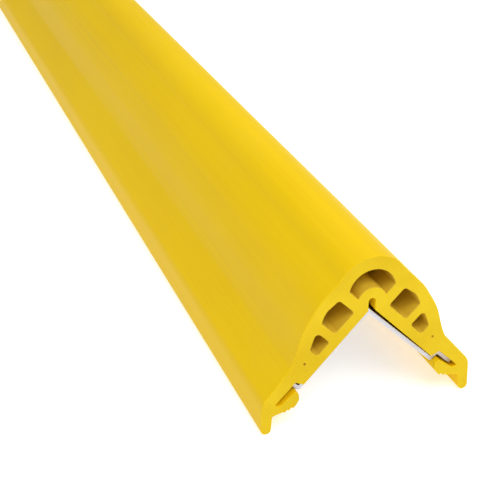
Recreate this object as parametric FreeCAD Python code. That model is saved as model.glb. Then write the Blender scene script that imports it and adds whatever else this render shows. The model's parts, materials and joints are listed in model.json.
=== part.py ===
import FreeCAD, Part
import math
import os
from FreeCAD import Vector

# A wall-corner impact guard. A hollow elastomer cover is clipped over a drilled aluminium
# corner rail. Plugs with countersunk collars go through the rail into both faces of a wall's
# outside corner, and a screw in each holds the rail.
#
# Millimetres, +Z up, +Y along the guard. It stands on its two skirt edges at z = 0 with the
# corner's ridge on top, and the origin is the middle of its base. Each leg of the section is
# drawn flat, as (along, out): along the wall from its corner, and out from the wall. on_leg
# puts such a point on the right leg, and the left leg is its mirror image.

# ---- Lengths along the guard
COVER_LENGTH = 1000.0
RAIL_SETBACK = 3.2  # the rail ends this far inside each end of the cover

# ---- Rail section
RAIL_WALL = 2.0
RAIL_LEG = 49.2  # wall corner to the far face of the step
FLANGE_LIFT = 4.7  # wall to the near face of the flange
FLANGE_WIDTH = 10.1  # flange, past the step
RAIL_INSIDE_ROUND = 0.6
RAIL_OUTSIDE_ROUND = 1.5
RAIL_EDGE_ROUND = 0.4

# ---- Clearances between the rail and the cover
CLIP_GAP = 0.3  # above and below the flange
LIP_GAP = 0.4  # step to the lip's nose
STEP_GAP = 1.2  # step to the cover's heel, which stands back from it
GROOVE_SPARE = 1.3  # flange edge to the bottom of the groove
BACK_GAP_HEEL = 0.6  # leg to the cover's inner face beside the step
BACK_GAP_CORNER = 1.6  # the same beside the corner

# ---- Cover: crown over the corner
PLATEAU_HEIGHT = 27.1  # flat band beside the crown, above the wall
CROWN_CENTRE = 13.0  # above the wall's corner
CROWN_BULGE = 0.8  # the crown stands this far proud of the flat bands
CROWN_VALLEY = 8.0  # radius that runs the crown into the flat bands
CROWN_SKIN = 6.8

# ---- Cover: legs
SHOULDER_ALONG = 11.4
SHOULDER_ROUND = 20.0
VALLEY_BACK = 7.5  # valley of the slope, back from the step
VALLEY_HEIGHT = 14.6
VALLEY_ROUND = 12.0
LEG_SKIN = 5.8  # outer skin over the leg chambers

# ---- Cover: skirt
CHEEK_PAST_GROOVE = 3.4
CHEEK_HEIGHT = 12.7
CHEEK_ROUND = 9.0
TIP_PAST_GROOVE = 12.34  # centre of the rounded tip
TIP_HEIGHT = 1.03
TIP_ROUND = 2.5
NOTCH_PAST_GROOVE = 5.4
NOTCH_HEIGHT = 3.6
NOTCH_ROUND = 1.0

# ---- Cover: gripping lip
LIP_DROP = 2.3  # the lip's sole stands this far behind the wall plane until it is pressed flat
LIP_NOSE = 2.3  # nose to the start of the sole's slope
LIP_SLOPE = 2.9
LIP_WEDGE = 1.1  # the lip's back falls away from the flange towards its nose
TOOTH_COUNT = 3
TOOTH_PITCH = 2.1
TOOTH_DEPTH = 1.0
TOOTH_ROOT_ROUND = 0.15
TOOTH_TIP_ROUND = 0.2
SOLE_RISE = 0.7  # sole's slope up to the nose
SOLE_ROUND = 1.4
TOE_ROUND = 1.6
NOSE_ROUND = 0.7

# ---- Cover: groove for the flange, and the heel beside the step
GROOVE_MOUTH_ROUND = 1.2  # where the lip's wedge starts
GROOVE_END_WIDTH = 1.5
GROOVE_ROUND = 0.6
HEEL_SLOPE = 1.4
HEEL_TOP_ROUND = 0.4
HEEL_FOOT_ROUND = 0.5

# ---- Cover: chambers
CROWN_END = 2.6  # the crown chamber ends this far short of the first leg's corner
WEB = 5.8  # crown chamber to the first leg chamber
FIRST_WIDTH = 13.4
FIRST_FLOOR = 9.1
SECOND_WEB = 4.6
SECOND_WIDTH = 8.8
SECOND_FLOOR = 8.0
CHAMBER_ROUND = 1.7
ROUND_LIMIT = 0.4  # most of its shortest side that a chamber's corner radius may take
ROOF_ROUND = 4.0  # roof's bend under the shoulder, in chamber corner radii
PINHOLE_WEB = 6.5  # second chamber to the pinhole's centre
PINHOLE_HEIGHT = 10.4
PINHOLE_RADIUS = 0.65
SLOT_WIDTH = 3.6
SLOT_TOP = 10.0  # above the wall's corner
BOSS_RADIUS = 7.4
BOSS_SKIN = 5.5

# ---- Fixings
SCREWS_PER_LEG = 5
SCREW_PITCH = 200.0
SCREW_STAGGER = 40.0  # right-hand screws to left-hand screws, so that the plugs pass each other
SCREW_ALONG = 24.0
SCREW_RADIUS = 1.9
SCREW_LENGTH = 35.0
SCREW_POINT = 4.0
HEAD_RADIUS = 3.4
HEAD_RIM = 0.25
HEAD_SINK = 0.1  # head and collar below the rail's outer face
RECESS_REACH = 1.7
RECESS_WIDTH = 0.8
RECESS_DEPTH = 1.4
PLUG_RADIUS = 3.0
PLUG_LENGTH = 30.0  # behind the wall plane
PLUG_NECK = 8.0
PLUG_BITE = 0.1  # the screw's thread bites this far into the plug
HOLE_CLEARANCE = 0.1  # plug to the rail's hole
COLLAR_WALL = 0.8  # plug's countersunk collar, around the screw's head
RIB_COUNT = 6
RIB_DEPTH = 0.4
SPLIT_WIDTH = 0.9

# ---- Places worked out from the sizes above
ROOT2 = math.sqrt(2)
RAIL_LENGTH = COVER_LENGTH - 2 * RAIL_SETBACK
FLANGE_END = RAIL_LEG + FLANGE_WIDTH
GROOVE_END = FLANGE_END + GROOVE_SPARE
GROOVE_TOP = FLANGE_LIFT + RAIL_WALL + CLIP_GAP
NOSE_ALONG = RAIL_LEG + LIP_GAP
HEEL_ALONG = RAIL_LEG - RAIL_WALL - STEP_GAP
VALLEY_ALONG = RAIL_LEG - VALLEY_BACK
TIP_ALONG = GROOVE_END + TIP_PAST_GROOVE
CORNER_HEIGHT = (TIP_ALONG - TIP_HEIGHT) / ROOT2 + TIP_ROUND
CROWN_RADIUS = PLATEAU_HEIGHT + CROWN_BULGE - CROWN_CENTRE / ROOT2


def on_leg(along, out):
    """The section point (x, z) of a place on the right leg."""
    return ((along + out) / ROOT2, CORNER_HEIGHT + (out - along) / ROOT2)


def over_corner(x, height):
    """The section point (x, z) of a place given above the wall's corner."""
    return (x, CORNER_HEIGHT + height)


def between(a, b, share):
    return (a[0] + share * (b[0] - a[0]), a[1] + share * (b[1] - a[1]))


def line(a, b):
    return Part.makeLine(Vector(a[0], 0, a[1]), Vector(b[0], 0, b[1]))


def arc(a, b, centre):
    """The shorter arc about centre from a to b."""
    middle = between(a, b, 0.5)
    share = math.dist(a, centre) / math.dist(middle, centre)
    top = between(centre, middle, share)
    points = [Vector(x, 0, z) for x, z in (a, top, b)]
    return Part.Arc(*points).toShape()


def tangent_point(start, centre, radius, side):
    """Where a line from start touches a circle, on its left (side 1) or its right (side -1)."""
    away = math.dist(start, centre)
    heading = math.atan2(start[1] - centre[1], start[0] - centre[0])
    turn = side * math.acos(radius / away)
    return (centre[0] + radius * math.cos(heading + turn), centre[1] + radius * math.sin(heading + turn))


def rounded_corner(before, corner, after, radius):
    """The two ends and the centre of the arc that rounds a corner."""
    arms = [math.dist(corner, before), math.dist(corner, after)]
    ways = [((p[0] - corner[0]) / arm, (p[1] - corner[1]) / arm) for p, arm in zip((before, after), arms)]
    half = math.acos(ways[0][0] * ways[1][0] + ways[0][1] * ways[1][1]) / 2
    back = radius / math.tan(half)
    ends = [(corner[0] + back * way[0], corner[1] + back * way[1]) for way in ways]
    middle = (ways[0][0] + ways[1][0], ways[0][1] + ways[1][1])
    scale = radius / math.sin(half) / math.hypot(*middle)
    return ends[0], ends[1], (corner[0] + scale * middle[0], corner[1] + scale * middle[1])


def outline(points, closed=False):
    """Edges through points (place, radius): a line to each, with its corner rounded."""
    count = len(points)
    edges = []
    pen = None
    first = None
    for i, (place, radius) in enumerate(points):
        inner = closed or 0 < i < count - 1
        if radius and inner:
            before = points[i - 1][0]
            after = points[(i + 1) % count][0]
            start, end, centre = rounded_corner(before, place, after, radius)
        else:
            start = end = place
        if pen is None:
            first = start
        elif math.dist(pen, start) > 1e-6:
            edges.append(line(pen, start))
        if start != end:
            edges.append(arc(start, end, centre))
        pen = end
    if closed:
        edges.append(line(pen, first))
    return edges


def joined(edges):
    return Part.Wire(Part.__sortEdges__(edges))


def with_mirror(edges):
    """One closed wire from the right half's edges and their mirror image."""
    mirrored = [edge.mirror(Vector(0, 0, 0), Vector(1, 0, 0)) for edge in edges]
    return joined(edges + mirrored)


def extrusion(wires, length):
    """A bar of this section, centred along Y. Wires inside the first are holes."""
    face = Part.makeFace(wires, "Part::FaceMakerBullseye")
    face.translate(Vector(0, -length / 2, 0))
    return face.extrude(Vector(0, length, 0))


# ---- Rail

def rail_section():
    flange_face = FLANGE_LIFT + RAIL_WALL
    step_near = RAIL_LEG - RAIL_WALL
    places = [
        (over_corner(0, 0), 0),
        (on_leg(RAIL_LEG, 0), RAIL_OUTSIDE_ROUND),
        (on_leg(RAIL_LEG, FLANGE_LIFT), RAIL_INSIDE_ROUND),
        (on_leg(FLANGE_END, FLANGE_LIFT), RAIL_EDGE_ROUND),
        (on_leg(FLANGE_END, flange_face), RAIL_EDGE_ROUND),
        (on_leg(step_near, flange_face), RAIL_OUTSIDE_ROUND),
        (on_leg(step_near, RAIL_WALL), RAIL_INSIDE_ROUND),
        (over_corner(0, RAIL_WALL * ROOT2), 0),
    ]
    return with_mirror(outline(places))


def leg_sides():
    """The right leg and the left leg, with the sign of x on each."""
    return (("right", 1), ("left", -1))


def screw_places(side):
    """Places along Y of one leg's screws."""
    middle = (SCREWS_PER_LEG - 1) / 2
    return [(i - middle) * SCREW_PITCH - side * SCREW_STAGGER / 2 for i in range(SCREWS_PER_LEG)]


def screw_seat(side, y):
    """Where a screw's axis crosses the wall plane, and the direction out of the wall."""
    x, z = on_leg(SCREW_ALONG, 0)
    return Vector(side * x, y, z), Vector(side / ROOT2, 0, 1 / ROOT2)


def placed(shape, side, y):
    """Moves a fixing drawn along +Z from the wall plane to its place on a leg."""
    seat, out = screw_seat(side, y)
    turn = FreeCAD.Rotation(Vector(0, 0, 1), out)
    moved = shape.copy()
    moved.Placement = FreeCAD.Placement(seat, turn)
    return moved


def turned(profile):
    """A solid of revolution about Z from (radius, z) points."""
    points = [Vector(r, 0, z) for r, z in profile + profile[:1]]
    face = Part.Face(Part.makePolygon(points))
    return face.revolve(Vector(0, 0, 0), Vector(0, 0, 1), 360)


def head_heights():
    """Top of the head, foot of its rim and foot of its cone, out from the wall plane."""
    top = RAIL_WALL - HEAD_SINK
    rim = top - HEAD_RIM
    return top, rim, rim - (HEAD_RADIUS - SCREW_RADIUS)


def collar_rim():
    """Foot of the collar's rim, out from the wall plane that its cone starts from."""
    return HEAD_RADIUS + COLLAR_WALL - PLUG_RADIUS


def plug_hole():
    """Hole through the rail for a plug, with a countersink that the plug's collar sits in."""
    hole_radius = PLUG_RADIUS + HOLE_CLEARANCE
    mouth_radius = PLUG_RADIUS + RAIL_WALL
    return turned([
        (0, -RAIL_WALL),
        (hole_radius, -RAIL_WALL),
        (hole_radius, HOLE_CLEARANCE),
        (mouth_radius, RAIL_WALL),
        (mouth_radius, 2 * RAIL_WALL),
        (0, 2 * RAIL_WALL),
    ])


def corner_rail():
    rail = extrusion([rail_section()], RAIL_LENGTH)
    holes = [placed(plug_hole(), side, y) for _, side in leg_sides() for y in screw_places(side)]
    return rail.cut(holes)


# ---- Fixings

def screw():
    """Countersunk screw with a cross recess, its point inside the wall."""
    top, rim, foot = head_heights()
    end = top - SCREW_LENGTH
    body = turned([
        (0, end),
        (SCREW_RADIUS, end + SCREW_POINT),
        (SCREW_RADIUS, foot),
        (HEAD_RADIUS, rim),
        (HEAD_RADIUS, top),
        (0, top),
    ])
    corner = Vector(-RECESS_REACH, -RECESS_WIDTH / 2, top - RECESS_DEPTH)
    bar = Part.makeBox(2 * RECESS_REACH, RECESS_WIDTH, RECESS_DEPTH + 1, corner)
    crossed = bar.copy()
    crossed.rotate(Vector(0, 0, 0), Vector(0, 0, 1), 90)
    return body.cut([bar, crossed])


def plug():
    """Wall plug: a countersunk collar in the rail, a plain neck, then saw ribs on two legs."""
    top, head_rim, head_foot = head_heights()
    collar_radius = HEAD_RADIUS + COLLAR_WALL
    bore = SCREW_RADIUS - PLUG_BITE
    rib = (PLUG_LENGTH - PLUG_NECK) / RIB_COUNT
    valley = PLUG_RADIUS - RIB_DEPTH
    profile = [
        (bore, head_foot - PLUG_BITE),
        (HEAD_RADIUS, head_rim),
        (HEAD_RADIUS, top),
        (collar_radius, top),
        (collar_radius, collar_rim()),
        (PLUG_RADIUS, 0),
        (PLUG_RADIUS, -PLUG_NECK),
    ]
    for i in range(RIB_COUNT):
        start = -PLUG_NECK - i * rib
        profile += [(valley, start), (PLUG_RADIUS, start - rib)]
    profile.append((bore, -PLUG_LENGTH))
    corner = Vector(-PLUG_RADIUS - 1, -SPLIT_WIDTH / 2, -PLUG_LENGTH - 1)
    split = Part.makeBox(2 * PLUG_RADIUS + 2, SPLIT_WIDTH, PLUG_LENGTH - PLUG_NECK + 1, corner)
    return turned(profile).cut(split)


# ---- Cover

def slope_height(along):
    """Height of the outer face between the shoulder and the valley."""
    share = (along - SHOULDER_ALONG) / (VALLEY_ALONG - SHOULDER_ALONG)
    return PLATEAU_HEIGHT + share * (VALLEY_HEIGHT - PLATEAU_HEIGHT)


def under_slope(along):
    """Height of a chamber's roof, one skin under the slope."""
    fall = (PLATEAU_HEIGHT - VALLEY_HEIGHT) / (VALLEY_ALONG - SHOULDER_ALONG)
    return slope_height(along) - LEG_SKIN * math.hypot(1, fall)


def crown_edges():
    """Half of the crown, and the small valley that runs it into the flat band."""
    centre = over_corner(0, CROWN_CENTRE)
    rise = PLATEAU_HEIGHT + CROWN_VALLEY - CROWN_CENTRE / ROOT2
    reach = math.sqrt((CROWN_RADIUS + CROWN_VALLEY) ** 2 - rise**2)
    valley_along = reach - CROWN_CENTRE / ROOT2
    valley_centre = on_leg(valley_along, PLATEAU_HEIGHT + CROWN_VALLEY)
    leave = between(centre, valley_centre, CROWN_RADIUS / (CROWN_RADIUS + CROWN_VALLEY))
    land = on_leg(valley_along, PLATEAU_HEIGHT)
    top = over_corner(0, CROWN_CENTRE + CROWN_RADIUS)
    return [arc(top, leave, centre), arc(leave, land, valley_centre)], land


def skirt_tip():
    """The rounded tip's centre, and where the outer and inner faces touch it."""
    centre = on_leg(TIP_ALONG, TIP_HEIGHT)
    cheek = on_leg(GROOVE_END + CHEEK_PAST_GROOVE, CHEEK_HEIGHT)
    notch = on_leg(GROOVE_END + NOTCH_PAST_GROOVE, NOTCH_HEIGHT)
    return centre, tangent_point(cheek, centre, TIP_ROUND, -1), tangent_point(notch, centre, TIP_ROUND, 1)


def sole_places():
    """The lip's sole, from the notch back to the nose, with its saw teeth."""
    last = NOSE_ALONG + LIP_NOSE + LIP_SLOPE + TOOTH_PITCH * TOOTH_COUNT
    places = []
    for i in range(TOOTH_COUNT):
        along = last - i * TOOTH_PITCH
        height = TOOTH_DEPTH * (TOOTH_COUNT - i) - LIP_DROP
        places.append((on_leg(along, height), TOOTH_ROOT_ROUND))
        places.append((on_leg(along, height - TOOTH_DEPTH), TOOTH_TIP_ROUND))
    places.append((on_leg(NOSE_ALONG + LIP_NOSE + LIP_SLOPE, -LIP_DROP), SOLE_ROUND))
    places.append((on_leg(NOSE_ALONG + LIP_NOSE, -LIP_DROP + SOLE_RISE), TOE_ROUND))
    return places


def slot_edges(foot):
    """The relief slot's side, up to the middle of its round top."""
    centre = over_corner(0, SLOT_TOP - SLOT_WIDTH / 2)
    spring = (SLOT_WIDTH / 2, centre[1])
    return [line(foot, spring), arc(spring, over_corner(0, SLOT_TOP), centre)]


def cover_outline():
    crown, land = crown_edges()
    tip_centre, tip_outside, tip_inside = skirt_tip()
    lip_back = FLANGE_LIFT - CLIP_GAP
    inner_heel = RAIL_WALL + BACK_GAP_HEEL
    inner_corner = RAIL_WALL + BACK_GAP_CORNER
    outside = [
        (land, 0),
        (on_leg(SHOULDER_ALONG, PLATEAU_HEIGHT), SHOULDER_ROUND),
        (on_leg(VALLEY_ALONG, VALLEY_HEIGHT), VALLEY_ROUND),
        (on_leg(GROOVE_END + CHEEK_PAST_GROOVE, CHEEK_HEIGHT), CHEEK_ROUND),
        (tip_outside, 0),
    ]
    slot_foot = (SLOT_WIDTH / 2, CORNER_HEIGHT + inner_corner * ROOT2 - SLOT_WIDTH / 2)
    inside = [
        (tip_inside, 0),
        (on_leg(GROOVE_END + NOTCH_PAST_GROOVE, NOTCH_HEIGHT), NOTCH_ROUND),
        *sole_places(),
        (on_leg(NOSE_ALONG, LIP_DROP / 2), NOSE_ROUND),
        (on_leg(NOSE_ALONG, lip_back - LIP_WEDGE), NOSE_ROUND),
        (on_leg(FLANGE_END, lip_back), GROOVE_MOUTH_ROUND),
        (on_leg(GROOVE_END, GROOVE_TOP - GROOVE_END_WIDTH), GROOVE_ROUND),
        (on_leg(GROOVE_END, GROOVE_TOP), GROOVE_ROUND),
        (on_leg(HEEL_ALONG, GROOVE_TOP), HEEL_TOP_ROUND),
        (on_leg(HEEL_ALONG - HEEL_SLOPE, inner_heel), HEEL_FOOT_ROUND),
        (slot_foot, 0),
    ]
    tip = arc(tip_outside, tip_inside, tip_centre)
    return with_mirror(crown + outline(outside) + [tip] + outline(inside) + slot_edges(slot_foot))


def crown_chamber():
    """A crescent over the boss at the wall's corner."""
    radius = CROWN_RADIUS - CROWN_SKIN
    centre = over_corner(0, CROWN_CENTRE)
    centre_along = -CROWN_CENTRE / ROOT2
    reach = -CROWN_END - centre_along
    shoulder = on_leg(-CROWN_END, math.sqrt(radius**2 - reach**2) - centre_along)
    boss_height = SLOT_TOP + BOSS_SKIN - BOSS_RADIUS
    boss_centre = over_corner(0, boss_height)
    boss_reach = boss_height / ROOT2 - CROWN_END
    root = on_leg(-CROWN_END, boss_height / ROOT2 + math.sqrt(BOSS_RADIUS**2 - boss_reach**2))
    top = over_corner(0, CROWN_CENTRE + radius)
    boss_top = over_corner(0, boss_height + BOSS_RADIUS)
    return with_mirror([arc(top, shoulder, centre), line(shoulder, root), arc(root, boss_top, boss_centre)])


def chamber_round(*sides):
    """The chambers' corner radius, less in a chamber too small for it."""
    return min(CHAMBER_ROUND, ROUND_LIMIT * min(sides))


def leg_chambers():
    """The two chambers and the pinhole of the right leg."""
    first_near = WEB - CROWN_END
    first_far = first_near + FIRST_WIDTH
    second_near = first_far + SECOND_WEB
    second_far = second_near + SECOND_WIDTH
    first_roof = PLATEAU_HEIGHT - CROWN_SKIN
    first_eave = under_slope(first_far)
    first_round = chamber_round(FIRST_WIDTH, first_roof - FIRST_FLOOR, first_eave - FIRST_FLOOR)
    second_roof = under_slope(second_near)
    second_eave = under_slope(second_far)
    second_round = chamber_round(SECOND_WIDTH, second_roof - SECOND_FLOOR, second_eave - SECOND_FLOOR)
    first = [
        (on_leg(first_near, FIRST_FLOOR), first_round),
        (on_leg(first_far, FIRST_FLOOR), first_round),
        (on_leg(first_far, first_eave), first_round),
        (on_leg(SHOULDER_ALONG, PLATEAU_HEIGHT - LEG_SKIN), ROOF_ROUND * first_round),
        (on_leg(first_near, first_roof), first_round),
    ]
    second = [
        (on_leg(second_near, SECOND_FLOOR), second_round),
        (on_leg(second_far, SECOND_FLOOR), second_round),
        (on_leg(second_far, second_eave), second_round),
        (on_leg(second_near, second_roof), second_round),
    ]
    x, z = on_leg(second_far + PINHOLE_WEB, PINHOLE_HEIGHT)
    pinhole = Part.makeCircle(PINHOLE_RADIUS, Vector(x, 0, z), Vector(0, 1, 0))
    return [joined(outline(first, True)), joined(outline(second, True)), Part.Wire(pinhole)]


def impact_cover():
    right = leg_chambers()
    left = [wire.mirror(Vector(0, 0, 0), Vector(1, 0, 0)) for wire in right]
    return extrusion([cover_outline(), crown_chamber(), *right, *left], COVER_LENGTH)


# ---- The pieces

def pieces():
    made = {"impact_cover": impact_cover(), "corner_rail": corner_rail()}
    for name, side in leg_sides():
        for number, y in enumerate(screw_places(side), 1):
            made[f"screw_{name}_{number}"] = placed(screw(), side, y)
            made[f"plug_{name}_{number}"] = placed(plug(), side, y)
    return made


os.makedirs("parts", exist_ok=True)
for node, shape in pieces().items():
    shape.exportStep(f"parts/{node}.step")
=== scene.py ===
"""Detailed pieces of a wall corner impact guard, built over its CAD frame."""

import json
import math

import bmesh
import bpy
from mathutils import Matrix, Vector, noise


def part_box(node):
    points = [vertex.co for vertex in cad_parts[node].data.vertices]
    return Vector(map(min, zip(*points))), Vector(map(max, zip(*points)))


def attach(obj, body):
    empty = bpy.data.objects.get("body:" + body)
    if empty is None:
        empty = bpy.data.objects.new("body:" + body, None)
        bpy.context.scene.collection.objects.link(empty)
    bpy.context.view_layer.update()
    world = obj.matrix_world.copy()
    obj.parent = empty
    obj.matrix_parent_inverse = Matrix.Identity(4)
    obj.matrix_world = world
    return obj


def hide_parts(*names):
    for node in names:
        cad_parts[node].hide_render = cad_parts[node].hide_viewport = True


bl_info = {
    "name": "Wall Corner Impact Guard",
    "version": (1, 0, 0),
    "blender": (4, 5, 0),
    "location": "3D View > Sidebar > Corner Guard",
    "description": "Builds the detailed pieces of a wall corner impact guard over its CAD frame",
    "category": "Object",
}

MILLIMETRE = 0.001
ALONG = Vector((0.0, 1.0, 0.0))

# Reading the CAD's section
WELD = 1e-6  # corners closer than this are one corner
END_FACE = 1e-5  # how far a corner of the end face may lie from the end

# Dividing an outline and an extrusion
GENTLE = math.radians(3)  # a stretch that bends more than this is divided at least once
WIDEST_MITRE = 0.7  # cosine that limits how far a sharp corner's normal is stretched
END_STATIONS = (0.001, 0.003, 0.007)  # extra rings this far from each sawn end
END_ROUND_STEPS = (0, 30, 60, 90)  # degrees round a sawn end's softened edge
BURR_GRAIN = 900  # per metre
BURR_SHIFT = 0.1  # metres between the two ends' burrs in the noise
WAVE_GRAIN = 22  # per metre, across the cover
CREASE = math.radians(32)  # edges that turn more than this are shaded sharp

# Places in an extruded piece's list of materials
SKIN = 0
SAWN = 1
HOLLOW = 2

# Turned pieces
HOLE_SIDES = 64
PLUG_SIDES = 48
PLUG_RIBS = 6
RIB_LAND = 0.15  # flat foot of a rib, in ribs
SCREW_SIDES = 32
THREAD_STEPS = 10  # rings in one pitch
THREAD_FLANK = 0.30  # half of the ridge's foot, in pitches
THREAD_CREST = 1.15  # how steeply the ridge reaches its flat crest
POINT_ROOT = 0.04  # root radius left at the tip of the point
POINT_CREST = 0.3  # ridge left at the tip of the point
HEAD_EDGE = 0.4  # softened edge of the head, in rims
RECESS_LEVELS = ((1.0, 0.0), (0.72, 0.55), (0.35, 1.0))  # (width, depth), in those of the recess
RECESS_FOOT = 1.15  # depth of the recess's tip, in depths of the recess

# Places of the colour sockets on Blender's Mix node
MIX_BELOW = 6
MIX_ABOVE = 7
MIX_RESULT = 2

FLOOR_SHADE = 0.985  # darkest patch of the floor, in its own colour

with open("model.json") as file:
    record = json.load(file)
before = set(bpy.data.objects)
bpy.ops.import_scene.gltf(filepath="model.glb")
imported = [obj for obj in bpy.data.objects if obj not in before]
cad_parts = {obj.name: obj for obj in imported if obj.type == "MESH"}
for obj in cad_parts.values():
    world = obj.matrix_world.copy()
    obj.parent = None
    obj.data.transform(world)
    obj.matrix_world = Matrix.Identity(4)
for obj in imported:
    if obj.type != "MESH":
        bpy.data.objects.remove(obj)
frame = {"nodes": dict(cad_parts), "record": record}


# ---- Settings

def length(name, description, default):
    """A setting in metres."""
    return bpy.props.FloatProperty(
        name=name, description=description, default=default, min=0.0,
        precision=5, subtype="DISTANCE", unit="LENGTH",
    )


def angle(name, description, default):
    """A setting whose default is given in degrees."""
    return bpy.props.FloatProperty(
        name=name, description=description, default=math.radians(default),
        subtype="ANGLE", unit="ROTATION",
    )


def share(name, description, default):
    """A setting from 0 to 1."""
    return bpy.props.FloatProperty(
        name=name, description=description, default=default, min=0.0, max=1.0, subtype="FACTOR",
    )


def colour(name, description, default):
    """A colour setting."""
    return bpy.props.FloatVectorProperty(
        name=name, description=description, default=default, min=0.0, max=1.0, size=3, subtype="COLOR",
    )


def place(name, description, default):
    """A setting that holds a point in the scene."""
    return bpy.props.FloatVectorProperty(
        name=name, description=description, default=default, size=3,
        subtype="TRANSLATION", unit="LENGTH",
    )


def direction(name, description, default):
    """A setting that holds a direction in the scene."""
    return bpy.props.FloatVectorProperty(
        name=name, description=description, default=default, size=3, subtype="DIRECTION",
    )


def power(name, description, default):
    """A setting in watts."""
    return bpy.props.FloatProperty(
        name=name, description=description, default=default, min=0.0, unit="POWER",
    )


class GuardCoverSettings(bpy.types.PropertyGroup):
    """Sizes and colours of the elastomer cover."""
    corner: angle("Corner", "Turns of the section sharper than this stay sharp", 24.0)
    spacing: length("Spacing", "Longest step round the section", 0.0017)
    station: length("Station", "Longest step along the extrusion", 0.023)
    end_round: length("End rounding", "Softened edge round a sawn end", 0.00014)
    burr: length("Burr", "Unevenness of a sawn edge", 0.00005)
    wave: length("Wave", "Height of the outer skin's slow waves", 0.00022)
    wave_length: length("Wave length", "Length of the outer skin's slow waves", 0.13)
    still_below: length("Still below", "Skin closer to the wall than this doesn't wave", 0.008)
    bow: length("Bow", "How far the slope between shoulder and valley bows out", 0.0015)
    bow_start: length("Bow start", "Where the bow starts, down the leg from the wall's corner", 0.0105)
    bow_end: length("Bow end", "Where the bow ends, down the leg from the wall's corner", 0.0415)
    bow_foot: length("Bow foot", "Nearest to the wall that the bow reaches", 0.0105)
    bow_reach: length("Bow reach", "Height above the foot where the bow is full", 0.010)
    skin_colour: colour("Skin", "Extruded skin", (0.895, 0.595, 0.004))
    pale_colour: colour("Pale skin", "Palest part of the skin", (0.925, 0.628, 0.007))
    deep_colour: colour("Deep skin", "Deepest part of the skin", (0.835, 0.535, 0.002))
    sawn_colour: colour("Sawn face", "Sawn end face", (0.770, 0.542, 0.019))
    sawn_deep_colour: colour("Sawn shade", "Darker streaks in the sawn face", (0.665, 0.445, 0.012))
    # The hollows' skin is the same elastomer as the outer skin, painted darker and greyer: painted
    # shade inside the chambers.
    hollow_shaded_colour: colour("Hollow", "Skin inside the hollows", (0.790, 0.545, 0.045))
    hollow_shaded_deep_colour: colour("Hollow shade", "Deepest skin inside the hollows", (0.730, 0.490, 0.038))
    dust_colour: colour("Dust", "Thin film of dust", (0.66, 0.55, 0.28))
    scuff_colour: colour("Scuff", "Grey rub marks", (0.20, 0.15, 0.06))
    roughness: share("Roughness", "Roughness of the skin", 0.50)
    gloss: share("Gloss", "Strength of the skin's reflections", 0.07)
    sawn_roughness: share("Sawn roughness", "Roughness of the sawn face", 0.62)


class GuardRailSettings(bpy.types.PropertyGroup):
    """Sizes and colours of the aluminium rail."""
    corner: angle("Corner", "Turns of the section sharper than this stay sharp", 24.0)
    spacing: length("Spacing", "Longest step round the section", 0.003)
    station: length("Station", "Longest step along the extrusion", 0.04)
    end_round: length("End rounding", "Softened edge round a sawn end", 0.00012)
    burr: length("Burr", "Unevenness of a sawn edge", 0.00003)
    hole_radius: length("Hole radius", "Plug hole through the rail", 0.0031)
    hole_foot: length("Hole foot", "Where the countersink starts, above the wall's face", 0.0001)
    mouth_radius: length("Mouth radius", "Countersink at the outer face", 0.005)
    wall: length("Wall", "Thickness of the rail", 0.002)
    metal_colour: colour("Metal", "Mill-finish aluminium", (0.70, 0.70, 0.75))
    dull_colour: colour("Dull metal", "Duller bands of the mill finish", (0.56, 0.56, 0.61))
    sawn_colour: colour("Sawn metal", "Sawn end of the rail", (0.66, 0.66, 0.74))
    roughness: share("Roughness", "Roughness of the mill finish", 0.34)


class GuardScrewSettings(bpy.types.PropertyGroup):
    """Sizes and colours of the countersunk screws."""
    head_radius: length("Head radius", "Radius of the countersunk head", 0.0034)
    head_top: length("Head top", "Top of the head above the wall", 0.0019)
    head_rim: length("Head rim", "Height of the head's rim", 0.00025)
    crest_radius: length("Crest radius", "Thread's outer radius", 0.0019)
    root_radius: length("Root radius", "Thread's inner radius", 0.00142)
    screw_length: length("Length", "Head to point", 0.035)
    point: length("Point", "Length of the tapered point", 0.004)
    pitch: length("Pitch", "Thread pitch", 0.0018)
    recess_reach: length("Recess reach", "Cross recess from its centre", 0.0017)
    recess_width: length("Recess width", "Width of the cross recess", 0.0008)
    recess_depth: length("Recess depth", "Depth of the cross recess", 0.0014)
    zinc_colour: colour("Zinc", "Bright zinc plate", (0.70, 0.71, 0.73))
    dark_colour: colour("Dark zinc", "Dull patches in the plate", (0.50, 0.50, 0.51))
    roughness: share("Roughness", "Roughness of the plate", 0.28)


class GuardPlugSettings(bpy.types.PropertyGroup):
    """Sizes and colours of the wall plugs."""
    collar_radius: length("Collar radius", "Radius of the countersunk collar", 0.0042)
    collar_top: length("Collar top", "Top of the collar above the wall", 0.0019)
    collar_rim: length("Collar rim", "Foot of the collar's rim above the wall", 0.0012)
    collar_edge: length("Collar edge", "Softened edge of the collar", 0.0001)
    seat_radius: length("Seat radius", "Where the collar meets the screw's head", 0.0034)
    seat_rim: length("Seat rim", "Depth of the seat for the head's rim", 0.00025)
    plug_radius: length("Plug radius", "Radius of the neck and the ribs", 0.003)
    bore_radius: length("Bore radius", "Radius of the screw's bore", 0.0018)
    bore_edge: length("Bore edge", "Softened edge at the bore's far end", 0.0003)
    neck: length("Neck", "Plain neck behind the wall's face", 0.008)
    depth: length("Depth", "Wall's face to the plug's end", 0.030)
    rib_depth: length("Rib depth", "Depth of the saw ribs", 0.0004)
    rib_round: length("Rib rounding", "Softened crest of a rib", 0.00015)
    split: length("Split", "Gap between the two legs", 0.0009)
    nylon_colour: colour("Nylon", "Grey moulded nylon", (0.40, 0.41, 0.42))
    worn_colour: colour("Nylon shade", "Paler flow marks in the nylon", (0.50, 0.51, 0.52))
    roughness: share("Roughness", "Roughness of the nylon", 0.48)


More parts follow.
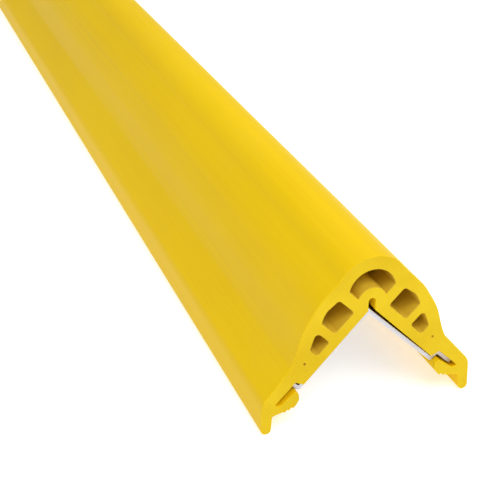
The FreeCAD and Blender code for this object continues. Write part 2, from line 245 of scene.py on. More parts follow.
class GuardStageSettings(bpy.types.PropertyGroup):
    """Camera, floor and lights."""
    camera_place: place("Camera", "Where the camera stands", (-0.2033, -0.8971, 0.3261))
    camera_right: direction("Camera right", "The camera's right", (0.93842, -0.34537, -0.00920))
    camera_down: direction("Camera down", "The camera's foot", (-0.17070, -0.44034, -0.88146))
    lens: bpy.props.FloatProperty(
        name="Lens", description="Focal length of the camera", default=80.91, min=1.0, unit="CAMERA",
    )
    sensor: bpy.props.FloatProperty(
        name="Sensor", description="Width of the camera's sensor", default=36.0, min=1.0, unit="CAMERA",
    )
    floor_size: length("Floor", "Side of the square floor", 14.0)
    floor_colour: colour("Floor", "Pale matt floor", (0.80, 0.80, 0.80))
    floor_glow: share("Floor glow", "Light from the light table that the floor is", 0.66)
    sky_colour: colour("Surroundings", "Pale surroundings", (1.0, 1.0, 1.0))
    sky_strength: share("Surroundings' strength", "Strength of the surroundings' light", 0.40)
    key_power: power("Key light", "Power of the large light at the front", 19.0)
    key_width: length("Key light's width", "Across the large light", 1.3)
    key_height: length("Key light's height", "Up the large light", 1.0)
    key_place: place("Key light's place", "Where the large light hangs", (0.1, -1.5, 1.5))
    key_aim: place("Key light's aim", "Where the large light points", (0.0, -0.2, 0.04))
    top_power: power("Top light", "Power of the long light above", 11.0)
    top_width: length("Top light's width", "Across the long light", 0.7)
    top_height: length("Top light's length", "Along the long light", 2.2)
    top_place: place("Top light's place", "Where the long light hangs", (0.45, 0.1, 1.6))
    top_aim: place("Top light's aim", "Where the long light points", (0.0, 0.0, 0.04))


# ---- The frame

def wall_face(side):
    """Point on the wall's face and direction out of the wall, on one leg."""
    for mount in frame["record"]["mounts"]:
        if mount["name"] == f"{side}_wall_face":
            return Vector(mount["pos_m"]), -Vector(mount["axis"]).normalized()
    raise RuntimeError(f"the record has no {side} wall face")


def on_leg(x, z):
    """Distances down the leg from the wall's corner and out from the wall, on either leg."""
    point, out = wall_face("right")
    corner = Vector((0.0, 0.0, point.z + point.x * out.x / out.z))
    away = Vector((abs(x), 0.0, z)) - corner
    return away.dot(Vector((out.z, 0.0, -out.x))), away.dot(out)


def fixings(kind):
    """Names of the CAD nodes of one kind, each with its place on the wall's face and its axis."""
    found = []
    for mount in frame["record"]["mounts"]:
        if mount["name"].startswith("plug_"):
            node = mount["name"].removesuffix("_neck").replace("plug", kind)
            out = -Vector(mount["axis"]).normalized()
            neck = mount["dims"]["length_mm"] * MILLIMETRE
            seat = Vector(mount["pos_m"]) + out * neck / 2
            found.append((node, seat, out))
    if not found:
        raise RuntimeError("the record has no plug mounts")
    return found


def standing(seat, out):
    """Placing with its foot on the seat and its axis out of the wall."""
    across = ALONG.cross(out)
    turned = Matrix((across, ALONG, out)).transposed().to_4x4()
    return Matrix.Translation(seat) @ turned


def cad_mesh(node):
    """Welded copy of a CAD node's mesh, in the row frame."""
    source = frame["nodes"][node]
    mesh = bmesh.new()
    mesh.from_mesh(source.data)
    mesh.transform(source.matrix_world)
    bmesh.ops.remove_doubles(mesh, verts=mesh.verts, dist=WELD)
    return mesh


def section_loops(node):
    """Outlines of the CAD node's near end face, the outer one first and anticlockwise."""
    mesh = cad_mesh(node)
    near = min(v.co.y for v in mesh.verts)
    face = {f for f in mesh.faces if all(v.co.y < near + END_FACE for v in f.verts)}
    rim = [e for e in mesh.edges if sum(f in face for f in e.link_faces) == 1]
    beside = {}
    for edge in rim:
        for vert in edge.verts:
            beside.setdefault(vert, []).append(edge.other_vert(vert))
    loops = []
    waiting = set(beside)
    while waiting:
        start = min(waiting, key=lambda v: (v.co.x, v.co.z))
        walk = [start]
        waiting.discard(start)
        while True:
            ahead = [v for v in beside[walk[-1]] if v in waiting]
            if not ahead:
                break
            walk.append(ahead[0])
            waiting.discard(ahead[0])
        loops.append([Vector((v.co.x, v.co.z)) for v in walk])
    mesh.free()
    loops.sort(key=lambda loop: -abs(area(loop)))
    return [loop if (area(loop) > 0) == (i == 0) else loop[::-1] for i, loop in enumerate(loops)]


def area(loop):
    """Signed area of an outline, positive when it runs anticlockwise."""
    return sum(loop[i - 1].cross(loop[i]) for i in range(len(loop))) / 2


# ---- Outlines, as lists of (x, z) points

def clamped(value):
    """The value, held between 0 and 1."""
    return min(1.0, max(0.0, value))


def refined(loop, spacing, corner):
    """The outline with its arcs rounded out and its sides divided. Corners stay where they are."""
    count = len(loop)
    arriving = []
    leaving = []
    for i in range(count):
        back = loop[i] - loop[i - 1]
        ahead = loop[(i + 1) % count] - loop[i]
        if back.angle(ahead) > corner:
            arriving.append(back.normalized())
            leaving.append(ahead.normalized())
        else:
            arriving.append((back + ahead).normalized())
            leaving.append(arriving[-1])
    points = []
    for i in range(count):
        j = (i + 1) % count
        chord = loop[j] - loop[i]
        bend = leaving[i].angle(arriving[j])
        steps = max(math.ceil(chord.length / spacing), 1 + (bend > GENTLE))
        for k in range(steps):
            points.append(hermite(loop[i], loop[j], leaving[i], arriving[j], k / steps))
    return points


def hermite(start, end, leave, arrive, at):
    """Point at a share of the way along the smooth curve between two points."""
    reach = (end - start).length
    near = 2 * at**3 - 3 * at**2 + 1
    out = at**3 - 2 * at**2 + at
    home = at**3 - at**2
    return start * near + leave * (out * reach) + end * (1 - near) + arrive * (home * reach)


def bowed(point, settings):
    """Section point of the cover, moved out where the slope of its leg bows."""
    down, out = on_leg(*point)
    share_down = clamped((down - settings.bow_start) / (settings.bow_end - settings.bow_start))
    share_out = clamped((out - settings.bow_foot) / settings.bow_reach)
    _, way = wall_face("right")
    moved = settings.bow * share_out * math.sin(math.pi * share_down) ** 2
    return point + Vector((math.copysign(way.x, point.x), way.z)) * moved


def outward(loop):
    """Direction away from the material at each point, for outlines that keep it on their left."""
    normals = []
    for i, point in enumerate(loop):
        back = (point - loop[i - 1]).normalized()
        ahead = (loop[(i + 1) % len(loop)] - point).normalized()
        run = (back + ahead).normalized()
        stretch = 1 / max(run.dot(ahead), WIDEST_MITRE)
        normals.append(Vector((run.y, -run.x)) * stretch)
    return normals


def stations(low, high, step, end_round):
    """Depths from the low end to the high end, closer together near the ends."""
    near = [end_round, *END_STATIONS]
    inner = high - low - 2 * near[-1]
    count = math.ceil(inner / step)
    middle = [low + near[-1] + inner * i / count for i in range(1, count)]
    return [low + d for d in near] + middle + [high - d for d in reversed(near)]


# ---- Meshes

def ring_places(low, high, settings):
    """Depth, inset and end (-1, 0 or 1) of every ring of an extrusion."""
    rounding = settings.end_round
    turns = [math.radians(step) for step in reversed(END_ROUND_STEPS) if step]
    softened = [(rounding * (1 - math.sin(turn)), rounding * (1 - math.cos(turn))) for turn in turns]
    near = [(low + depth, inset, -1) for depth, inset in softened]
    far = [(high - depth, inset, 1) for depth, inset in reversed(softened)]
    middle = [(y, 0.0, 0) for y in stations(low, high, settings.station, rounding)]
    return near + middle + far


def ring_row(mesh, loop, normals, ring, settings, wave_at):
    """An outline's points on one ring of an extrusion."""
    y, inset, end = ring
    row = []
    for point, normal in zip(loop, normals):
        at = point - normal * inset
        if wave_at:
            at = at + normal * wave_at(point, y)
        depth = y
        if end:
            rough = noise.noise(Vector((at.x, at.y, end * BURR_SHIFT)) * BURR_GRAIN)
            depth -= end * settings.burr * (0.5 + 0.5 * rough)
        row.append(mesh.verts.new((at.x, depth, at.y)))
    return row


def extruded(loops, low, high, settings, shape_at=None, wave_at=None):
    """Solid of the section from low to high along the extrusion, with its sawn ends softened.

    shape_at moves a point of the section. wave_at says how far the outer skin stands out at a
    point of the section and a depth.
    """
    mesh = bmesh.new()
    loops = [refined(loop, settings.spacing, settings.corner) for loop in loops]
    if shape_at:
        loops = [[shape_at(point) for point in loop] for loop in loops]
    rings = ring_places(low, high, settings)
    end_edges = ([], [])
    for number, loop in enumerate(loops):
        outer = number == 0
        normals = outward(loop)
        wave = wave_at if outer else None
        rows = [ring_row(mesh, loop, normals, ring, settings, wave) for ring in rings]
        for lower, upper in zip(rows, rows[1:]):
            for i in range(len(loop)):
                face = mesh.faces.new((lower[i - 1], lower[i], upper[i], upper[i - 1]))
                face.material_index = SKIN if outer else HOLLOW
        for edges, row in zip(end_edges, (rows[0], rows[-1])):
            for i in range(len(row)):
                edges.append(mesh.edges.get((row[i - 1], row[i])))
    for edges in end_edges:
        filled = bmesh.ops.triangle_fill(mesh, edges=edges, use_beauty=True, use_dissolve=False)
        faces = [f for f in filled["geom"] if isinstance(f, bmesh.types.BMFace)]
        if not faces:
            raise RuntimeError("a sawn end couldn't be filled")
        for face in faces:
            face.material_index = SAWN
    bmesh.ops.recalc_face_normals(mesh, faces=mesh.faces)
    return mesh


def revolved(profile, count, closed=True):
    """Solid turned about the local Z axis from (radius, height) points; radius 0 closes it."""
    mesh = bmesh.new()
    rings = []
    for radius, height in profile:
        if radius == 0:
            rings.append([mesh.verts.new((0.0, 0.0, height))])
            continue
        rings.append([turned_vert(mesh, radius, height, i / count) for i in range(count)])
    if closed:
        rings.append(rings[0])
    for lower, upper in zip(rings, rings[1:]):
        join_rings(mesh, lower, upper)
    bmesh.ops.recalc_face_normals(mesh, faces=mesh.faces)
    return mesh


def turned_vert(mesh, radius, height, share_round):
    """Point at a share of the way round a ring."""
    turn = math.tau * share_round
    return mesh.verts.new((radius * math.cos(turn), radius * math.sin(turn), height))


def join_rings(mesh, lower, upper):
    """Faces between two rings, either of which may be a single point."""
    count = max(len(lower), len(upper))
    for i in range(count):
        corners = [lower[i - 1], lower[i]] if len(lower) > 1 else [lower[0]]
        corners += [upper[i], upper[i - 1]] if len(upper) > 1 else [upper[0]]
        mesh.faces.new(corners)


def carved(solid, cutter):
    """Mesh of the solid with the cutter taken out of it."""
    body = linked("solid", as_mesh("solid", solid, []))
    tool = linked("cutter", as_mesh("cutter", cutter, []))
    cut = body.modifiers.new("Cut", "BOOLEAN")
    cut.operation = "DIFFERENCE"
    cut.solver = "EXACT"
    cut.object = tool
    graph = bpy.context.evaluated_depsgraph_get()
    shape = body.evaluated_get(graph)
    result = bmesh.new()
    result.from_mesh(shape.data)
    if not result.faces:
        raise RuntimeError("a cut left nothing")
    for spare in (body, tool):
        mesh = spare.data
        bpy.data.objects.remove(spare)
        bpy.data.meshes.remove(mesh)
    return result


def as_mesh(name, source, materials, flat=()):
    """Blender mesh, smooth but for its creases and the flat materials' faces; frees the source."""
    for face in source.faces:
        face.smooth = face.material_index not in flat
    for edge in source.edges:
        edge.smooth = not (len(edge.link_faces) == 2 and edge.calc_face_angle() > CREASE)
    mesh = bpy.data.meshes.new(name)
    source.to_mesh(mesh)
    source.free()
    for material in materials:
        mesh.materials.append(material)
    return mesh


def linked(name, mesh):
    """New object in the scene."""
    made = bpy.data.objects.new(name, mesh)
    bpy.context.scene.collection.objects.link(made)
    return made


# ---- Materials. A grain's numbers are per metre across, along and up, and a relief is in metres.

class Finish:
    """A node material under construction, in the piece's own coordinates."""

    def __init__(self, name, metallic, ior=1.5, gloss=0.5):
        self.material = bpy.data.materials.new(name)
        self.material.use_nodes = True
        self.nodes = self.material.node_tree.nodes
        self.links = self.material.node_tree.links
        self.surface = self.nodes["Principled BSDF"]
        self.surface.inputs["Metallic"].default_value = metallic
        self.surface.inputs["IOR"].default_value = ior
        self.surface.inputs["Specular IOR Level"].default_value = gloss
        self.place = self.nodes.new("ShaderNodeTexCoord").outputs["Object"]

    def put(self, socket, value):
        """Links a socket to a socket, or sets a plain value on it."""
        if isinstance(value, bpy.types.NodeSocket):
            self.links.new(value, socket)
        else:
            socket.default_value = value

    def stretched(self, scale, turn=(0.0, 0.0, 0.0)):
        """Coordinates scaled per metre on each axis."""
        mapping = self.nodes.new("ShaderNodeMapping")
        self.put(mapping.inputs["Vector"], self.place)
        mapping.inputs["Rotation"].default_value = turn
        mapping.inputs["Scale"].default_value = scale
        return mapping.outputs["Vector"]

    def grain(self, scale, detail=3.0, roughness=0.55, turn=(0.0, 0.0, 0.0), distortion=0.0):
        """Noise from 0 to 1, its scale per metre on each axis."""
        texture = self.nodes.new("ShaderNodeTexNoise")
        self.put(texture.inputs["Vector"], self.stretched(scale, turn))
        texture.inputs["Scale"].default_value = 1.0
        texture.inputs["Detail"].default_value = detail
        texture.inputs["Roughness"].default_value = roughness
        texture.inputs["Distortion"].default_value = distortion
        return texture.outputs["Fac"]

    def lines(self, scale, turn, distortion):
        """Bands from 0 to 1, their scale per metre on each axis."""
        texture = self.nodes.new("ShaderNodeTexWave")
        self.put(texture.inputs["Vector"], self.stretched(scale, turn))
        texture.inputs["Scale"].default_value = 1.0
        texture.inputs["Distortion"].default_value = distortion
        texture.inputs["Detail"].default_value = 3.0
        texture.inputs["Detail Scale"].default_value = 0.6
        return texture.outputs["Fac"]

    def between(self, value, low, high, start=0.0, end=1.0):
        """The value's run from low to high, as a run from start to end."""
        mapped = self.nodes.new("ShaderNodeMapRange")
        self.put(mapped.inputs["Value"], value)
        mapped.inputs["From Min"].default_value = low
        mapped.inputs["From Max"].default_value = high
        mapped.inputs["To Min"].default_value = start
        mapped.inputs["To Max"].default_value = end
        return mapped.outputs["Result"]

    def combined(self, first, second, operation="ADD"):
        """Sum of two values, or what another operation makes of them."""
        node = self.nodes.new("ShaderNodeMath")
        node.operation = operation
        self.put(node.inputs[0], first)
        self.put(node.inputs[1], second)
        return node.outputs["Value"]

    def tinted(self, value, colours):
        """Colour along a row of colours, picked by the value."""
        ramp = self.nodes.new("ShaderNodeValToRGB")
        self.put(ramp.inputs["Fac"], value)
        elements = ramp.color_ramp.elements
        while len(elements) < len(colours):
            elements.new(0.5)
        for i, each in enumerate(colours):
            elements[i].position = i / (len(colours) - 1)
            elements[i].color = (*each, 1.0)
        return ramp.outputs["Color"]

    def over(self, mask, below, above):
        """A second colour laid over the first where the mask is high."""
        mix = self.nodes.new("ShaderNodeMix")
        mix.data_type = "RGBA"
        self.put(mix.inputs["Factor"], mask)
        self.put(mix.inputs[MIX_BELOW], below)
        self.put(mix.inputs[MIX_ABOVE], (*above, 1.0))
        return mix.outputs[MIX_RESULT]

    def bumped(self, reliefs):
        """Surface normal with each relief's (height, depth in metres) added in turn."""
        normal = None
        for height, depth in reliefs:
            bump = self.nodes.new("ShaderNodeBump")
            bump.inputs["Strength"].default_value = 1.0
            bump.inputs["Distance"].default_value = depth
            self.put(bump.inputs["Height"], height)
            if normal:
                self.put(bump.inputs["Normal"], normal)
            normal = bump.outputs["Normal"]
        self.put(self.surface.inputs["Normal"], normal)

    def finish(self, base, roughness):
        """The material, with its colour and roughness set."""
        self.put(self.surface.inputs["Base Color"], base)
        self.put(self.surface.inputs["Roughness"], roughness)
        return self.material


def skin_finish(settings, name, worn):
    """Extruded elastomer: die lines along it, an orange-peel skin, and wear where it is exposed.
    Unworn, it is the skin inside the hollows, its colours darkened with painted shade.
    """
    look = Finish(name, 0.0, 1.48, settings.gloss)
    cloud = look.grain((9, 4, 9), 4.0)
    streak = look.grain((420, 1.6, 420), 2.0)
    peel = look.grain((900, 700, 900), 2.0)
    ripple = look.grain((60, 14, 60), 3.0)
    tone = look.combined(
        look.between(cloud, 0.25, 0.75, 0.15, 0.85), look.between(streak, 0.3, 0.7, -0.10, 0.10)
    )
    if worn:
        base = look.tinted(tone, [settings.deep_colour, settings.skin_colour, settings.pale_colour])
    else:
        # Inside the hollows: the same random tone between colours darkened with painted shade.
        base = look.tinted(tone, [settings.hollow_shaded_deep_colour, settings.hollow_shaded_colour])
    rough = look.combined(
        look.between(cloud, 0.3, 0.7, settings.roughness - 0.05, settings.roughness + 0.05),
        look.between(streak, 0.3, 0.7, -0.04, 0.04),
    )
    if worn:
        film = look.between(look.grain((22, 9, 22), 6.0, 0.65), 0.52, 0.78, 0.0, 0.04)
        base = look.over(film, base, settings.dust_colour)
        rub = look.grain((70, 260, 70), 5.0, 0.7, (0.4, 0.7, 0.9))
        where = look.grain((14, 8, 14), 2.0)
        marks = look.combined(
            look.between(rub, 0.66, 0.74), look.between(where, 0.56, 0.66), "MULTIPLY"
        )
        base = look.over(look.combined(marks, 0.22, "MULTIPLY"), base, settings.scuff_colour)
        rough = look.combined(rough, look.combined(film, 1.2, "MULTIPLY"))
        rough = look.combined(rough, look.combined(marks, 0.15, "MULTIPLY"))
    look.bumped([(ripple, 0.00014), (streak, 0.00005), (peel, 0.00003)])
    return look.finish(base, rough)


def sawn_finish(settings):
    """Sawn elastomer: fine curved saw marks and a torn, matt face."""
    look = Finish("elastomer_sawn", 0.0, 1.46, settings.gloss * 0.6)
    marks = look.lines((210, 210, 210), (0.0, 0.62, 0.0), 4.0)
    tear = look.grain((850, 850, 850), 4.0, 0.65)
    cloud = look.grain((45, 45, 45), 4.0)
    tone = look.combined(
        look.between(cloud, 0.3, 0.7, 0.2, 1.0), look.between(marks, 0.0, 1.0, -0.10, 0.10)
    )
    base = look.tinted(tone, [settings.sawn_deep_colour, settings.sawn_colour])
    rough = look.between(tear, 0.3, 0.7, settings.sawn_roughness - 0.07, settings.sawn_roughness + 0.07)
    look.bumped([(marks, 0.00004), (tear, 0.00006)])
    return look.finish(base, rough)


def rail_finish(settings):
    """Mill-finish aluminium: fine drawn lines and duller bands along the rail."""
    look = Finish("rail_mill_finish", 1.0)
    line = look.grain((1400, 3, 1400), 3.0)
    band = look.grain((90, 1.5, 90), 3.0)
    speck = look.grain((700, 160, 700), 4.0, 0.7)
    base = look.tinted(look.between(band, 0.3, 0.7), [settings.dull_colour, settings.metal_colour])
    rough = look.combined(
        look.between(line, 0.3, 0.7, settings.roughness - 0.06, settings.roughness + 0.08),
        look.between(speck, 0.62, 0.75, 0.0, 0.12),
    )
    look.bumped([(line, 0.000015), (speck, 0.000006)])
    return look.finish(base, rough)


def rail_sawn_finish(settings):
    """Sawn aluminium: bright, with coarse marks of the saw."""
    look = Finish("rail_sawn", 1.0)
    marks = look.lines((900, 900, 900), (0.0, 0.62, 0.0), 3.0)
    tear = look.grain((2200, 2200, 2200), 3.0)
    base = look.tinted(marks, [settings.dull_colour, settings.sawn_colour])
    rough = look.between(tear, 0.3, 0.7, settings.roughness + 0.06, settings.roughness + 0.22)
    look.bumped([(marks, 0.00003), (tear, 0.000015)])
    return look.finish(base, rough)


def zinc_finish(settings):
    """Bright zinc plate over turned and rolled steel."""
    look = Finish("screw_zinc_plate", 1.0)
    patch = look.grain((500, 500, 500), 4.0)
    fine = look.grain((4200, 4200, 4200), 2.0)
    base = look.tinted(look.between(patch, 0.3, 0.7), [settings.dark_colour, settings.zinc_colour])
    rough = look.between(patch, 0.3, 0.7, settings.roughness - 0.06, settings.roughness + 0.10)
    look.bumped([(fine, 0.000004)])
    return look.finish(base, rough)


def nylon_finish(settings):
    """Moulded nylon: flow marks along the plug and a finely blasted surface."""
    look = Finish("plug_moulded_nylon", 0.0, 1.53)
    flow = look.grain((700, 700, 90), 3.0)
    blast = look.grain((5200, 5200, 5200), 2.0)
    base = look.tinted(look.between(flow, 0.3, 0.7), [settings.nylon_colour, settings.worn_colour])
    rough = look.between(blast, 0.3, 0.7, settings.roughness - 0.06, settings.roughness + 0.08)
    look.bumped([(blast, 0.000006), (flow, 0.00001)])
    return look.finish(base, rough)


def floor_finish(settings):
    """Pale matt board of a light table, with hardly any grain."""
    look = Finish("floor_board", 0.0, 1.3, 0.1)
    cloud = look.grain((3, 3, 3), 3.0)
    shade = tuple(FLOOR_SHADE * c for c in settings.floor_colour)
    base = look.tinted(cloud, [shade, settings.floor_colour])
    rough = look.between(cloud, 0.3, 0.7, 0.80, 0.88)
    look.surface.inputs["Emission Color"].default_value = (*settings.floor_colour, 1.0)
    look.surface.inputs["Emission Strength"].default_value = settings.floor_glow
    look.bumped([(look.grain((800, 800, 800), 2.0), 0.00001)])
    return look.finish(base, rough)


# ---- Pieces

def add_piece(name, mesh, node, body, placing=None):
    """Puts a finished piece in the scene, in place of its CAD node."""
    piece = linked(name, mesh)
    if placing:
        piece.matrix_world = placing
    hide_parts(node)
    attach(piece, body)
    return piece


def ends(node):
    """Where the CAD node starts and stops along the extrusion."""
    low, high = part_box(node)
    return low.y, high.y


def screw_mesh(settings):
    """Countersunk screw about the local Z axis: recessed head, rolled thread and point."""
    mesh = bmesh.new()
    top = settings.head_top
    rim_foot = top - settings.head_rim
    cone_foot = rim_foot - (settings.head_radius - settings.root_radius)
    tip = top - settings.screw_length
    edge = settings.head_rim * HEAD_EDGE
    head = [
        (settings.head_radius - edge, top),
        (settings.head_radius, top - edge),
        (settings.head_radius, rim_foot),
        (settings.root_radius, cone_foot),
    ]
    turns = [i / SCREW_SIDES for i in range(SCREW_SIDES)]
    rows = []
    for radius, height in head:
        rows.append([turned_vert(mesh, radius, height, turn) for turn in turns])
    step = settings.pitch / THREAD_STEPS
    height = cone_foot - step
    while height > tip + step:
        row = []
        for turn in turns:
            row.append(turned_vert(mesh, thread_radius(settings, height, turn), height, turn))
        rows.append(row)
        height -= step
    rows.append([mesh.verts.new((0.0, 0.0, tip))])
    for upper, lower in zip(rows, rows[1:]):
        join_rings(mesh, lower, upper)
    recess(mesh, settings, rows[0])
    bmesh.ops.recalc_face_normals(mesh, faces=mesh.faces)
    return mesh


def thread_radius(settings, height, share_round):
    """Radius of the threaded shank, with the thread run out towards the head and the point."""
    start = settings.head_top - settings.head_radius
    tip = settings.head_top - settings.screw_length
    phase = (height / settings.pitch + share_round) % 1.0
    ridge = max(0.0, 1 - abs(phase - 0.5) / THREAD_FLANK)
    fade_in = clamped((start - height) / settings.pitch)
    taper = clamped((height - tip) / settings.point)
    root = settings.root_radius * (POINT_ROOT + (1 - POINT_ROOT) * taper)
    crest = (settings.crest_radius - settings.root_radius) * (POINT_CREST + (1 - POINT_CREST) * taper)
    return root + crest * fade_in * min(1.0, ridge * THREAD_CREST)


def recess(mesh, settings, rim):
    """Cross recess in the head, narrowing to a point at its foot."""
    reach = settings.recess_reach
    half = settings.recess_width / 2
    top = settings.head_top
    arm = [(reach, -half), (reach, half), (half, half)]
    outline = []
    for quarter in range(4):
        turn = Matrix.Rotation(quarter * math.pi / 2, 2)
        outline += [turn @ Vector(p) for p in arm]
    rows = []
    for scale, depth in RECESS_LEVELS:
        height = top - depth * settings.recess_depth
        rows.append([mesh.verts.new((p.x * scale, p.y * scale, height)) for p in outline])
    for upper, lower in zip(rows, rows[1:]):
        join_rings(mesh, lower, upper)
    foot = [mesh.verts.new((0.0, 0.0, top - settings.recess_depth * RECESS_FOOT))]
    join_rings(mesh, foot, rows[-1])
    edges = []
    for row in (rim, rows[0]):
        for i in range(len(row)):
            edges.append(mesh.edges.get((row[i - 1], row[i])) or mesh.edges.new((row[i - 1], row[i])))
    bmesh.ops.triangle_fill(mesh, edges=edges, use_beauty=True, use_dissolve=False)


def plug_mesh(settings):
    """Wall plug about the local Z axis: countersunk collar, plain neck, and ribs on two legs."""
    radius = settings.plug_radius
    valley = radius - settings.rib_depth
    rib = (settings.depth - settings.neck) / PLUG_RIBS
    soft = settings.rib_round
    edge = settings.collar_edge
    seat_foot = settings.collar_top - settings.seat_rim
    profile = [
        (settings.bore_radius, seat_foot - (settings.seat_radius - settings.bore_radius)),
        (settings.seat_radius, seat_foot),
        (settings.seat_radius, settings.collar_top),
        (settings.collar_radius - edge, settings.collar_top),
        (settings.collar_radius, settings.collar_top - edge),
        (settings.collar_radius, settings.collar_rim),
        (radius, 0.0),
        (radius, -settings.neck + soft),
        (radius - soft, -settings.neck),
    ]
    for i in range(PLUG_RIBS):
        start = -settings.neck - i * rib
        profile += [
            (valley, start - soft),
            (valley, start - RIB_LAND * rib),
            (radius - soft * 0.3, start - rib + 2 * soft),
            (radius, start - rib + soft),
            (radius - soft * 0.5, start - rib),
        ]
    profile.append((settings.bore_radius + settings.bore_edge, -settings.depth))
    profile.append((settings.bore_radius, -settings.depth + settings.bore_edge))
    solid = revolved(profile, PLUG_SIDES)
    cutter = bmesh.new()
    bmesh.ops.create_cube(cutter, size=1.0)
    deep = settings.depth - settings.neck
    bmesh.ops.scale(cutter, vec=Vector((4 * radius, settings.split, 2 * deep)), verts=cutter.verts)
    bmesh.ops.translate(cutter, vec=Vector((0, 0, -settings.neck - deep)), verts=cutter.verts)
    return carved(solid, cutter)


def hole_cutters(settings):
    """Countersunk cutters for every plug hole in the rail."""
    cutters = bmesh.new()
    profile = [
        (0, -settings.wall),
        (settings.hole_radius, -settings.wall),
        (settings.hole_radius, settings.hole_foot),
        (settings.mouth_radius, settings.wall),
        (settings.mouth_radius, 2 * settings.wall),
        (0, 2 * settings.wall),
    ]
    for _, seat, out in fixings("plug"):
        one = revolved(profile, HOLE_SIDES, closed=False)
        one.transform(standing(seat, out))
        spare = bpy.data.meshes.new("cutter")
        one.to_mesh(spare)
        one.free()
        cutters.from_mesh(spare)
        bpy.data.meshes.remove(spare)
    bmesh.ops.recalc_face_normals(cutters, faces=cutters.faces)
    return cutters


class GUARD_OT_cover(bpy.types.Operator):
    """Build the hollow elastomer cover"""
    bl_idname = "guard.cover"
    bl_label = "Impact cover"

    def execute(self, context):
        settings = context.scene.guard_cover
        loops = section_loops("impact_cover")
        if len(loops) < 2:
            raise RuntimeError("the cover's section has no hollows")
        low, high = ends("impact_cover")

        def wave_at(point, y):
            """How far the outer skin stands out."""
            _, out = on_leg(*point)
            hold = clamped((out - settings.still_below) / settings.still_below)
            place_on = Vector((point.x * WAVE_GRAIN, y / settings.wave_length, point.y * WAVE_GRAIN))
            return settings.wave * hold * noise.noise(place_on)

        solid = extruded(loops, low, high, settings, lambda point: bowed(point, settings), wave_at)
        materials = [
            skin_finish(settings, "elastomer_skin", True),
            sawn_finish(settings),
            # The hollows' material: the elastomer with painted shade in its colours.
            skin_finish(settings, "elastomer_hollow", False),
        ]
        mesh = as_mesh("cover_extrusion", solid, materials, flat=(SAWN,))
        add_piece("cover_extrusion", mesh, "impact_cover", "cover")
        return {"FINISHED"}


class GUARD_OT_rail(bpy.types.Operator):
    """Build the drilled aluminium corner rail"""
    bl_idname = "guard.rail"
    bl_label = "Corner rail"

    def execute(self, context):
        settings = context.scene.guard_rail
        loops = section_loops("corner_rail")
        low, high = ends("corner_rail")
        solid = extruded(loops, low, high, settings)
        drilled = carved(solid, hole_cutters(settings))
        materials = [rail_finish(settings), rail_sawn_finish(settings)]
        mesh = as_mesh("rail_extrusion", drilled, materials)
        add_piece("rail_extrusion", mesh, "corner_rail", "rail")
        return {"FINISHED"}


class GUARD_OT_screws(bpy.types.Operator):
    """Build the countersunk screws"""
    bl_idname = "guard.screws"
    bl_label = "Screws"

    def execute(self, context):
        settings = context.scene.guard_screw
        master = as_mesh("screw_threaded", screw_mesh(settings), [zinc_finish(settings)])
        for node, seat, out in fixings("screw"):
            add_piece(f"{node}_threaded", master.copy(), node, "rail", standing(seat, out))
        bpy.data.meshes.remove(master)
        return {"FINISHED"}


class GUARD_OT_plugs(bpy.types.Operator):
    """Build the ribbed wall plugs"""
    bl_idname = "guard.plugs"
    bl_label = "Wall plugs"

    def execute(self, context):
        settings = context.scene.guard_plug
        master = as_mesh("plug_ribbed", plug_mesh(settings), [nylon_finish(settings)])
        for node, seat, out in fixings("plug"):
            add_piece(f"{node}_ribbed", master.copy(), node, "rail", standing(seat, out))
        bpy.data.meshes.remove(master)
        return {"FINISHED"}


class GUARD_OT_stage(bpy.types.Operator):
    """Build the floor, the lights and the camera"""
    bl_idname = "guard.stage"
    bl_label = "Stage"

    def execute(self, context):
        settings = context.scene.guard_stage
        scene = context.scene
        right = Vector(settings.camera_right).normalized()
        up = -Vector(settings.camera_down).normalized()
        back = right.cross(up)
        camera_data = bpy.data.cameras.new("camera")
        camera_data.lens = settings.lens
        camera_data.sensor_width = settings.sensor
        camera = bpy.data.objects.new("camera", camera_data)
        turned = Matrix((right, up, back)).transposed().to_4x4()
        camera.matrix_world = Matrix.Translation(settings.camera_place) @ turned
        scene.collection.objects.link(camera)
        scene.camera = camera

        board = bmesh.new()
        bmesh.ops.create_grid(board, x_segments=1, y_segments=1, size=settings.floor_size / 2)
        floor = linked("floor", as_mesh("floor", board, [floor_finish(settings)]))
        soft_light(settings, "key")
        soft_light(settings, "top")

        world = bpy.data.worlds.new("surroundings")
        world.use_nodes = True
        sky = world.node_tree.nodes["Background"]
        sky.inputs["Color"].default_value = (*settings.sky_colour, 1.0)
        sky.inputs["Strength"].default_value = settings.sky_strength
        scene.world = world
        scene.view_settings.view_transform = "Standard"
        return {"FINISHED"}


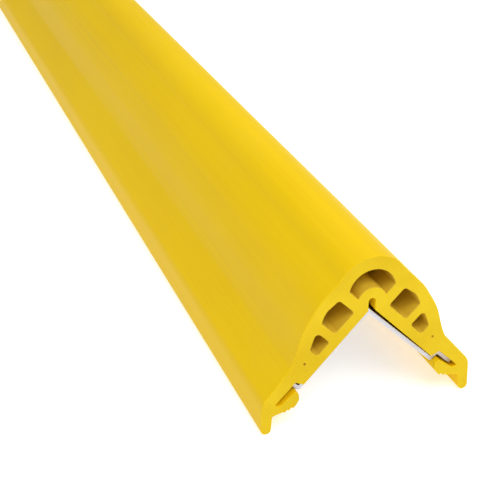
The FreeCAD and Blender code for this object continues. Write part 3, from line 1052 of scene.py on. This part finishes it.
def soft_light(settings, name):
    """The stage's light of this name, hung at its place and aimed."""
    data = bpy.data.lights.new(f"{name}_light", "AREA")
    data.shape = "RECTANGLE"
    data.size = getattr(settings, f"{name}_width")
    data.size_y = getattr(settings, f"{name}_height")
    data.energy = getattr(settings, f"{name}_power")
    hung = Vector(getattr(settings, f"{name}_place"))
    aim = Vector(getattr(settings, f"{name}_aim")) - hung
    light = bpy.data.objects.new(f"{name}_light", data)
    light.matrix_world = Matrix.Translation(hung) @ aim.to_track_quat("-Z", "Y").to_matrix().to_4x4()
    bpy.context.scene.collection.objects.link(light)
    return light


class GUARD_PT_panel(bpy.types.Panel):
    """Sizes, colours and builders of the corner guard"""
    bl_idname = "GUARD_PT_panel"
    bl_label = "Corner Guard"
    bl_space_type = "VIEW_3D"
    bl_region_type = "UI"
    bl_category = "Corner Guard"

    def draw(self, context):
        for group, operator in BUILDERS:
            box = self.layout.box()
            settings = getattr(context.scene, group)
            for name in settings.bl_rna.properties.keys():
                if name not in {"rna_type", "name"}:
                    box.prop(settings, name)
            box.operator(f"guard.{operator}")


SETTINGS = {
    "guard_cover": GuardCoverSettings,
    "guard_rail": GuardRailSettings,
    "guard_screw": GuardScrewSettings,
    "guard_plug": GuardPlugSettings,
    "guard_stage": GuardStageSettings,
}
BUILDERS = [
    ("guard_cover", "cover"),
    ("guard_rail", "rail"),
    ("guard_screw", "screws"),
    ("guard_plug", "plugs"),
    ("guard_stage", "stage"),
]
CLASSES = [
    *SETTINGS.values(),
    GUARD_OT_cover,
    GUARD_OT_rail,
    GUARD_OT_screws,
    GUARD_OT_plugs,
    GUARD_OT_stage,
    GUARD_PT_panel,
]


def register():
    """Adds the settings, the operators and the panel to Blender."""
    for each in CLASSES:
        bpy.utils.register_class(each)
    for name, group in SETTINGS.items():
        setattr(bpy.types.Scene, name, bpy.props.PointerProperty(type=group))


def unregister():
    """Takes them out again."""
    for name in SETTINGS:
        delattr(bpy.types.Scene, name)
    for each in reversed(CLASSES):
        bpy.utils.unregister_class(each)


def main():
    """Builds every piece and the stage."""
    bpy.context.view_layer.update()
    register()
    for _, operator in BUILDERS:
        getattr(bpy.ops.guard, operator)()


if __name__ == "__main__":
    main()
